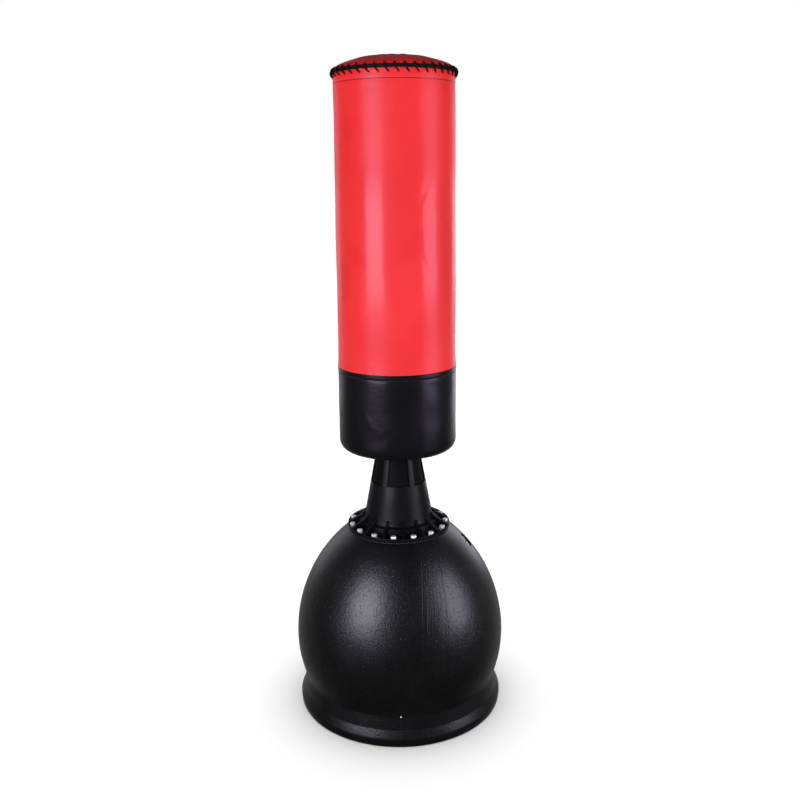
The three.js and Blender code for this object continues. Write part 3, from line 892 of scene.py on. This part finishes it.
# The red sleeve gets a thin line of painted shade at SEAM_Z, the height of its machine-sewn seam.
RED = leathercloth("red_leathercloth", (0.69, 0.016, 0.018), (0.76, 0.023, 0.025), 0.34, 1.0,
                   (1.13, 1.4, 0.05), SEAM_Z, 0.16, (0.3, 0.8, 1, 1))
DARK_RED = leathercloth("dark_red_leathercloth", (0.6, 0.012, 0.014), (0.9, 0.021, 0.026), 0.5, 2.2)
BLACK = leathercloth("black_leathercloth", (0.0032, 0.0032, 0.0038), (0.0052, 0.0052, 0.0062), 0.29, 0.7,
                     shine=0.16)
print("leathercloth:", RED.material.name, DARK_RED.material.name, BLACK.material.name)

# %% [markdown]
# ## Creases
# A tight cover over foam still shows a few shallow creases where it was pulled on. Each crease here
# is one line on the unrolled cover, with a place, a slope, a length and a depth; its profile is a
# soft valley beside a soft ridge. The list is short and given one by one, like a sculptor's marks.

# %% Crease helper
def crease(angle, z, place, slope, length, width, depth):
    """Height in mm of one crease; place is (degrees from the front, height in mm)."""
    across = (math.degrees(angle) - place[0] + 180) % 360 - 180
    x, y = math.radians(across) * COVER_R, z - place[1]
    c, s = math.cos(math.radians(slope)), math.sin(math.radians(slope))
    along, off = x * c + y * s, -x * s + y * c
    if abs(along) > 2.5 * length or abs(off) > 4 * width:
        return 0
    return depth * math.exp(-(along / length) ** 2) * (off / width) * math.exp(-(off / width) ** 2)


print("crease at its ridge:", round(crease(0, 1007, (0, 1000), 0, 40, 10, 1), 3))

# %% [markdown]
# ## Black skirt
# The skirt is one sewn tube turned under the foam with a generous round edge. Its top is folded
# into a hem about 13 mm deep, so the outline swells at the border and dips at the row of stitches.

# %% Black skirt
HEM_Z = BORDER - 13.5
SKIRT_CREASES = [
    ((-24, 822), -48, 30, 12, -0.6), ((-12, 796), 30, 26, 11, 0.5), ((-34, 835), -60, 36, 12, 0.5),
    ((22, 842), 70, 42, 9, 0.5), ((150, 830), 40, 40, 10, 0.9), ((-120, 800), -30, 36, 9, 0.8),
    ((75, 808), 25, 30, 8, 0.6),
]

def skirt_profile():
    thick, round_edge = CLOTH, 30
    outside = rounded([
        (90, BAG_BOTTOM), (SKIRT_R, BAG_BOTTOM, round_edge), (SKIRT_R, HEM_Z - 6),
        (SKIRT_R - 0.5, HEM_Z - 1.5, 2), (SKIRT_R - 0.7, HEM_Z, 1), (SKIRT_R + 0.5, HEM_Z + 3.5, 3),
        (SKIRT_R + 0.6, BORDER - 1.5, 1.5), (SKIRT_R - 0.6, BORDER - 0.2, 0.8),
        (SKIRT_R - thick, BORDER - 0.6),
    ], 7)
    outside = filled_in(outside, 4)
    inside = rounded([
        (SKIRT_R - thick, BORDER - 0.6), (SKIRT_R - thick, BAG_BOTTOM + thick, round_edge - thick),
        (90, BAG_BOTTOM + thick)])[1:]
    return outside + inside


def skirt_shape(angle, r, z):
    if z < BAG_BOTTOM + 3 or r < SKIRT_R - 12:
        return r, z
    fade = min(1, (z - BAG_BOTTOM) / 30) * min(1, max(0, (BORDER - 2 - z) / 30))
    bump = sum(crease(angle, z, *mark) for mark in SKIRT_CREASES)
    swell = uneven((COVER_R * math.sin(angle), COVER_R * math.cos(angle), z), 55, 0.8)
    return r + fade * (bump + swell), z


skirt = turned("skirt_leathercloth", skirt_profile(), 192, skirt_shape)
dress(skirt, BLACK, "bag", ["skirt_cover"])

# %% [markdown]
# ## Red sleeve
# The sleeve is laced at the top and sewn to the skirt at the bottom. The lacing pulls its upper edge
# into small scallops, one for each stitch, and a machine-sewn line runs 26 mm below the rim. Between
# the seams the cover has long, shallow swells, because the foam under it was wrapped by hand.

# %% Red sleeve
STITCHES = 40
LACE_SLANT = math.radians(3.2)
SLEEVE_CREASES = [
    ((-28, 1415), 8, 34, 6, 0.5), ((-26, 1180), -12, 40, 7, 0.45), ((30, 1385), 65, 34, 7, -0.7),
    ((34, 1300), 78, 45, 8, 0.6), ((29, 1215), -70, 40, 7, 0.6), ((-20, 1300), 84, 60, 8, 0.35),
    ((120, 1250), 50, 60, 12, 1.0), ((-110, 1100), -35, 60, 12, 1.0), ((170, 1450), 25, 50, 10, 0.9),
    ((-160, 1330), 60, 60, 12, 0.9), ((85, 1020), -20, 45, 9, 0.8), ((-70, 1520), 30, 45, 9, 0.8),
]

def sleeve_line(z):
    """The cover's radius at a height: a slight taper with a flare at the lower seam."""
    taper = 151.9 + (148.7 - 151.9) * max(0, z - 1037) / (RIM - 1037)
    flare = 1.6 * max(0, 1 - (z - BORDER) / 60) ** 2
    return taper + flare


def sleeve_profile():
    heights = [BORDER + 0.2 + (RIM - 3 - BORDER) * k / 168 for k in range(169)]
    outside = [(sleeve_line(BORDER) - 1.2, BORDER)] + [(sleeve_line(z), z) for z in heights]
    outside += [(sleeve_line(RIM) - 0.5, RIM - 0.8), (sleeve_line(RIM) - 1.6, RIM)]
    inside = [(sleeve_line(z) - CLOTH, z) for z in (RIM - 1, 1500, 1250, 1037, 1000, BORDER + 0.6)]
    return outside + inside


def sleeve_shape(angle, r, z):
    x, y = COVER_R * math.sin(angle), COVER_R * math.cos(angle)
    fade = min(1, (z - BORDER) / 25)
    swell = uneven((x, y, z * 0.6), 80, 1.3) + uneven((x * 2, y * 2, z * 5), 60, 0.16)
    bump = sum(crease(angle, z, *mark) for mark in SLEEVE_CREASES)
    seam = -0.7 * math.exp(-((z - SEAM_Z) / 2.0) ** 2) + 0.4 * math.exp(-((z - SEAM_Z - 6) / 4) ** 2)
    below = max(0, 1 - (RIM - z) / 14)
    wave = math.cos(STITCHES * (angle - LACE_SLANT * below))
    pull = below ** 1.5 * (0.9 * wave - 0.7)
    hem = max(0, 1 - (RIM - z) / 26)
    pucker = 0.35 * hem * noise.noise(Vector((x / 7, y / 7, z / 30)))
    return r + fade * (swell * (1 - hem) + bump) + seam + pull + pucker, z


sleeve = turned("sleeve_leathercloth", sleeve_profile(), 240, sleeve_shape)
dress(sleeve, RED, "bag", ["sleeve_cover"])

# %% [markdown]
# ## Domed top cover
# The top is a round panel stretched over a domed pad. Where the cord pulls its edge down, the cloth
# gathers into short pleats that run towards the middle and fade out.

# %% Domed top cover
DOME_A, DOME_RISE = 149, TOP - RIM

def cap_height(r):
    return TOP - DOME_RISE + DOME_RISE * math.sqrt(max(0, 1 - (r / DOME_A) ** 2))


def top_profile():
    radii = [148.2, 147.2, 146, 144.5, 142.5, 140, 137, 133.5, 130, 126, 122, 118, 113, 108, 102,
             96, 90, 83, 76, 69, 62, 54, 46, 38, 30, 22, 14, 7]
    outside = [(r, cap_height(r)) for r in radii] + [(0, TOP)]
    under = [(0, TOP - CLOTH)]
    under += [(r * 0.985, cap_height(r) - CLOTH) for r in (30, 62, 90, 113, 130, 142, 146.4)]
    return [(146.5, RIM + 0.4), (148.4, RIM + 0.4)] + outside, under


def top_shape(angle, r, z):
    if r < 8:
        return r, z
    edge = max(0, (r - 88) / 60)
    pleats = math.cos(STITCHES * (angle + LACE_SLANT * 0.6)) * edge ** 4 * 1.1
    slack = noise.noise(Vector((math.sin(angle) * 5, math.cos(angle) * 5, r / 70))) * 1.6 * min(1, r / 60)
    folds = noise.noise(Vector((math.sin(angle) * 22, math.cos(angle) * 22, r / 45))) * 1.3 * edge ** 1.5
    gathers = (pleats + folds) * min(1, (150 - r) / 6)
    settled = 2.2 * min(1, (150 - r) / 25)
    return r, z + gathers + slack * (1 - edge ** 3) - settled


outer, under = top_profile()
top = turned("top_leathercloth", outer[2:][::-1] + outer[1::-1] + under[::-1], 240, top_shape)
dress(top, DARK_RED, "bag", ["top_cover"])

# %% [markdown]
# ## Lacing
# A black cord lies along the joint between the top cover and the sleeve, and the same cord is
# whipped over it through forty pairs of holes. Seen from the front each turn leans down to the
# right. The core is a twisted ring; the turns are tapered tubes that dive into the cloth, copied by
# the ring tree.

# %% Cord finish
def cord_finish():
    made = Finish("black_waxed_cord", Specular_IOR_Level=0.08)
    fibre = made.noise(1.0, 3.0, made.stretched(1500, 1500, 2600))
    made.bump(fibre, 0.0005, 0.7)
    made.feed("Base Color", made.blend(fibre, (0.0008, 0.0014, 0.0015), (0.003, 0.0042, 0.0045)))
    made.feed("Roughness", 0.5 + fibre * 0.2)
    return made


CORD = cord_finish()

# %% Cord along the rim
def tube(name, path, sizes, sides=10, closed=False):
    """A tube through path points in mm, with a (width, height) pair or one radius at each point."""
    verts, faces = [], []
    count = len(path)
    for i, point in enumerate(path):
        ahead = path[(i + 1) % count] if closed or i + 1 < count else point
        behind = path[i - 1] if closed or i > 0 else point
        tangent = (ahead - behind).normalized()
        outward = Vector((point.x, point.y, 0)).normalized()
        outward = (outward - tangent * outward.dot(tangent)).normalized()
        up = tangent.cross(outward)
        for k in range(sides):
            a = 2 * math.pi * k / sides
            verts.append((point + outward * sizes(i, a) * math.cos(a) + up * sizes(i, a) * math.sin(a)) * MM)
    rows = count if closed else count - 1
    for i in range(rows):
        for k in range(sides):
            n, j = (k + 1) % sides, (i + 1) % count
            faces.append((i * sides + k, i * sides + n, j * sides + n, j * sides + k))
    if not closed:
        faces += [tuple(range(sides))[::-1], tuple(range((count - 1) * sides, count * sides))]
    return finished(name, verts, faces, 60)


CORD_R = 150.3
steps = 480
rim_path = []
for i in range(steps):
    a = 2 * math.pi * i / steps
    r = CORD_R + 0.25 * math.cos(STITCHES * a)
    rim_path.append(Vector((r * math.sin(a), -r * math.cos(a), RIM + 0.9)))

def braid(i, a):
    """A flat braid, taller than it is thick, with a strand's bulge every few millimetres."""
    oval = 1 / math.hypot(math.cos(a) / 2.4, math.sin(a) / 4.6)
    return oval * (1 + 0.07 * math.cos(2 * a + i * 2 * math.pi / 6))


rim_cord = tube("rim_cord", rim_path, braid, 14, True)
dress(rim_cord, CORD, "bag", ["rim_lacing"])

# %% Whipped turns of the cord
def whip_turn():
    """One turn over the rim at the front, from a hole in the top cover to a hole in the sleeve."""
    places = [(-3.4, 143.6, 9.4), (-3.0, 146.4, 9.6), (-2.0, 150.0, 7.6), (-0.8, 152.7, 4.0),
              (0.4, 153.6, -0.6), (2.2, 152.8, -5.0), (5.2, 151.2, -8.8), (8.0, 149.6, -11.6),
              (9.6, 146.6, -13.2)]
    path = [Vector((x, -r, RIM + z)) for x, r, z in places]
    size = [0.7, 1.3, 2.0, 2.4, 2.5, 2.3, 2.0, 1.5, 0.8]
    return tube("whip_turn", path, lambda i, a: size[i] * (1 + 0.1 * math.cos(2 * a + i * 1.3)), 8)


turns = ring_of("lacing_turns", whip_turn(), CORD, **{"Count": STITCHES, "Radius": 0.0, "First Angle": 0.02})
dress(turns, CORD, "bag")

# %% [markdown]
# ## Machine stitches
# Two rows of lockstitch run round the bag: one in red thread below the rim and one in black thread
# in the skirt's hem. A stitch is a short bead with both ends sunk into the cloth.

# %% Stitches
def thread_finish(name, colour):
    made = Finish(name, Roughness=0.6)
    twist = made.noise(1.0, 2.0, made.stretched(2500, 2500, 1200))
    made.bump(twist, 0.0002, 0.5)
    made.feed("Base Color", made.blend(twist, tuple(c * 0.6 for c in colour), colour))
    return made


RED_THREAD = thread_finish("dark_red_thread", (0.12, 0.004, 0.005))
BLACK_THREAD = thread_finish("black_thread", (0.012, 0.012, 0.013))

def bead(r, length, thick):
    points = [(-0.5, -0.9), (-0.34, 0.15), (0.0, 0.5), (0.34, 0.15), (0.5, -0.9)]
    path = []
    for along, out in points:
        path.append(Vector((along * length, -(r + out * thick), 0)))
    return tube("stitch", path, lambda i, a: thick * (0.5 if i in (0, 4) else 1) / 2, 6)


def stitch_row(name, finish, r, z, pitch):
    count = round(2 * math.pi * r / pitch)
    places = {"Count": count, "Radius": 0.0, "Height": z * MM}
    made = ring_of(name, bead(r, pitch * 0.82, 0.9), finish, **places)
    return dress(made, finish, "bag")


PITCH = 4.5
stitch_row("sleeve_stitches", RED_THREAD, sleeve_line(SEAM_Z) - 0.7, SEAM_Z, PITCH)
stitch_row("skirt_stitches", BLACK_THREAD, SKIRT_R - 0.7, HEM_Z, PITCH)

# %% [markdown]
# ## Back seam of the sleeve
# The sleeve is one rectangle rolled into a tube, so somewhere its two edges overlap. The overlap is
# at the back, as a low strip that follows the sleeve's swells.

# %% Back seam
def back_seam():
    rows = [BORDER + 2 + (SEAM_Z - 6 - BORDER) * k / 60 for k in range(61)]
    section = [(-9, -1.4), (-8.2, 0.9), (0, 1.25), (8.2, 0.9), (9, -1.4)]
    verts, faces = [], []
    for z in rows:
        sag = sleeve_shape(math.pi, sleeve_line(z), z)[0]
        for across, out in section:
            a = math.pi + across / COVER_R
            verts.append(((sag + out) * MM * math.sin(a), -(sag + out) * MM * math.cos(a), z * MM))
    n = len(section)
    for i in range(len(rows) - 1):
        for k in range(n):
            faces.append((i * n + k, i * n + (k + 1) % n, (i + 1) * n + (k + 1) % n, (i + 1) * n + k))
    faces += [tuple(range(n))[::-1], tuple(range((len(rows) - 1) * n, len(rows) * n))]
    return finished("back_seam", verts, faces, 40)


dress(back_seam(), RED, "bag")

# %% [markdown]
# ## Inside the bag and the neck
# These pieces show only when the bag is opened or leans, but each still gets the finish it has in a
# workshop: cut foam with open cells, plywood with growth rings, coated steel, brass and rubber.

# %% Inner finishes
def foam_finish(name, dark, light, size):
    made = Finish(name, Roughness=0.95, Specular_IOR_Level=0.2)
    pores = made.cells(size, "SMOOTH_F1")
    made.bump(pores, 0.0008, 0.8)
    made.feed("Base Color", made.blend(pores.between(0.1, 0.6), dark, light))
    return made


def plywood_finish():
    made = Finish("birch_plywood", Roughness=0.65)
    settings = {"wave_type": "RINGS", "rings_direction": "Z"}
    inputs = {"Vector": made.stretched(1, 0.25, 12), "Scale": 60.0, "Distortion": 5.0, "Detail": 3.0}
    rings = made.node("ShaderNodeTexWave", settings, inputs, 1)
    made.bump(rings, 0.0002, 0.4)
    made.feed("Base Color", made.blend(rings, (0.32, 0.19, 0.09), (0.52, 0.36, 0.2)))
    return made


def plain_finish(name, dark, light, scale, rough, metallic=0.0):
    made = Finish(name, Metallic=metallic)
    patch = made.noise(scale, 3.0)
    made.bump(patch, 0.0003, 0.4)
    made.feed("Base Color", made.blend(patch, dark, light))
    made.feed("Roughness", rough + patch * 0.15)
    return made


DENSE = foam_finish("dense_grey_foam", (0.09, 0.1, 0.11), (0.2, 0.21, 0.23), 600)
SOFT = foam_finish("soft_white_foam", (0.55, 0.54, 0.5), (0.75, 0.74, 0.7), 420)
PLY = plywood_finish()
RUBBER = plain_finish("black_rubber", (0.01, 0.01, 0.011), (0.02, 0.02, 0.021), 300, 0.7)
BRASS = plain_finish("turned_brass", (0.5, 0.34, 0.12), (0.66, 0.48, 0.2), 500, 0.28, 1.0)
CAD_FINISHES = {
    STEEL: ["lower_spring_seat", "upper_spring_seat", "core_tube"],
    ZINC: ["seat_bolt_01", "seat_bolt_02", "seat_bolt_03", "core_cross_bolt", "core_cross_nut"],
    PLY: ["bottom_board", "top_board"],
    RUBBER: ["flange_gasket", "fill_seal"],
    BRASS: [f"thread_insert_{i + 1:02d}" for i in range(BOLTS)],
}
for finish, names in CAD_FINISHES.items():
    for name in names:
        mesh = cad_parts[name].data
        mesh.materials.clear()
        mesh.materials.append(finish.material)
print("frame nodes finished:", sum(len(names) for names in CAD_FINISHES.values()))

# %% Foam layers
SPLIT_R = radius("inner_foam")
FOAM_LOW, FOAM_TOP = height("inner_foam", 0), height("inner_foam", 1)

inner = turned("inner_foam_block", rounded([
    (90, FOAM_LOW), (SPLIT_R, FOAM_LOW, 2), (SPLIT_R, FOAM_TOP, 2), (43, FOAM_TOP), (43, 1000), (62, 1000),
    (62, 880), (90, 880)]), 96)
dress(inner, DENSE, "bag", ["inner_foam"])

def foam_line(z):
    return sleeve_line(z) - 3.0 if z > BORDER else SKIRT_R - 3.0


outer_foam = turned("outer_foam_wrap", rounded([
    (SPLIT_R + 0.5, FOAM_LOW), (144, FOAM_LOW, 3), (SKIRT_R - 3.2, FOAM_LOW + 18, 8), (foam_line(930), 930),
    (foam_line(1037), 1037), (foam_line(FOAM_TOP) - 0.2, FOAM_TOP, 4), (SPLIT_R + 0.5, FOAM_TOP)]), 96)
dress(outer_foam, SOFT, "bag", ["outer_foam"])

PAD_LOW = height("top_pad", 0)
pad_line = [(r * 0.975, cap_height(r) - 4.6) for r in (148, 144, 136, 124, 108, 88, 64, 36)]
pad = turned("domed_pad", [(0, PAD_LOW), (143, PAD_LOW)] + pad_line + [(0, TOP - 4.6)], 96)
dress(pad, SOFT, "bag", ["top_pad"])

# %% [markdown]
# ## Spring
# The coil spring bends as the bag leans. Here it is made in two halves, each its own tube of wire
# with the steel finish: the lower half from the spring's foot to its middle, the upper half from the
# middle to its top.

# %% Coil spring
def wire(turn_from, turn_to):
    low, high = height("coil_spring", 0) + 6.1, height("coil_spring", 1) - 6.1
    turns_in_all, per_turn = 5.5, 28
    count = round((turn_to - turn_from) * per_turn)
    path = []
    for i in range(count + 1):
        turn = turn_from + (turn_to - turn_from) * i / count
        a = 2 * math.pi * turn
        path.append(Vector((42 * math.cos(a), 42 * math.sin(a), low + (high - low) * turn / turns_in_all)))
    return tube("spring_half", path, lambda i, a: 6.0, 14)


middle = (height("coil_spring", 0) + height("coil_spring", 1)) / 2 * MM
ends = (height("coil_spring", 0) * MM, height("coil_spring", 1) * MM)
lower_coils, upper_coils = wire(0, 2.75), wire(2.75, 5.5)
lower_coils.name, upper_coils.name = "spring_lower_coils", "spring_upper_coils"
for coils, pair, start, end in ((lower_coils, ("base", "spring"), ends[0], middle),
                                (upper_coils, ("spring", "bag"), middle, ends[1])):
    coils.data.materials.append(STEEL.material)
    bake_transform(coils)
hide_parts("coil_spring")
print("spring coils:", len(lower_coils.data.polygons) + len(upper_coils.data.polygons), "faces")
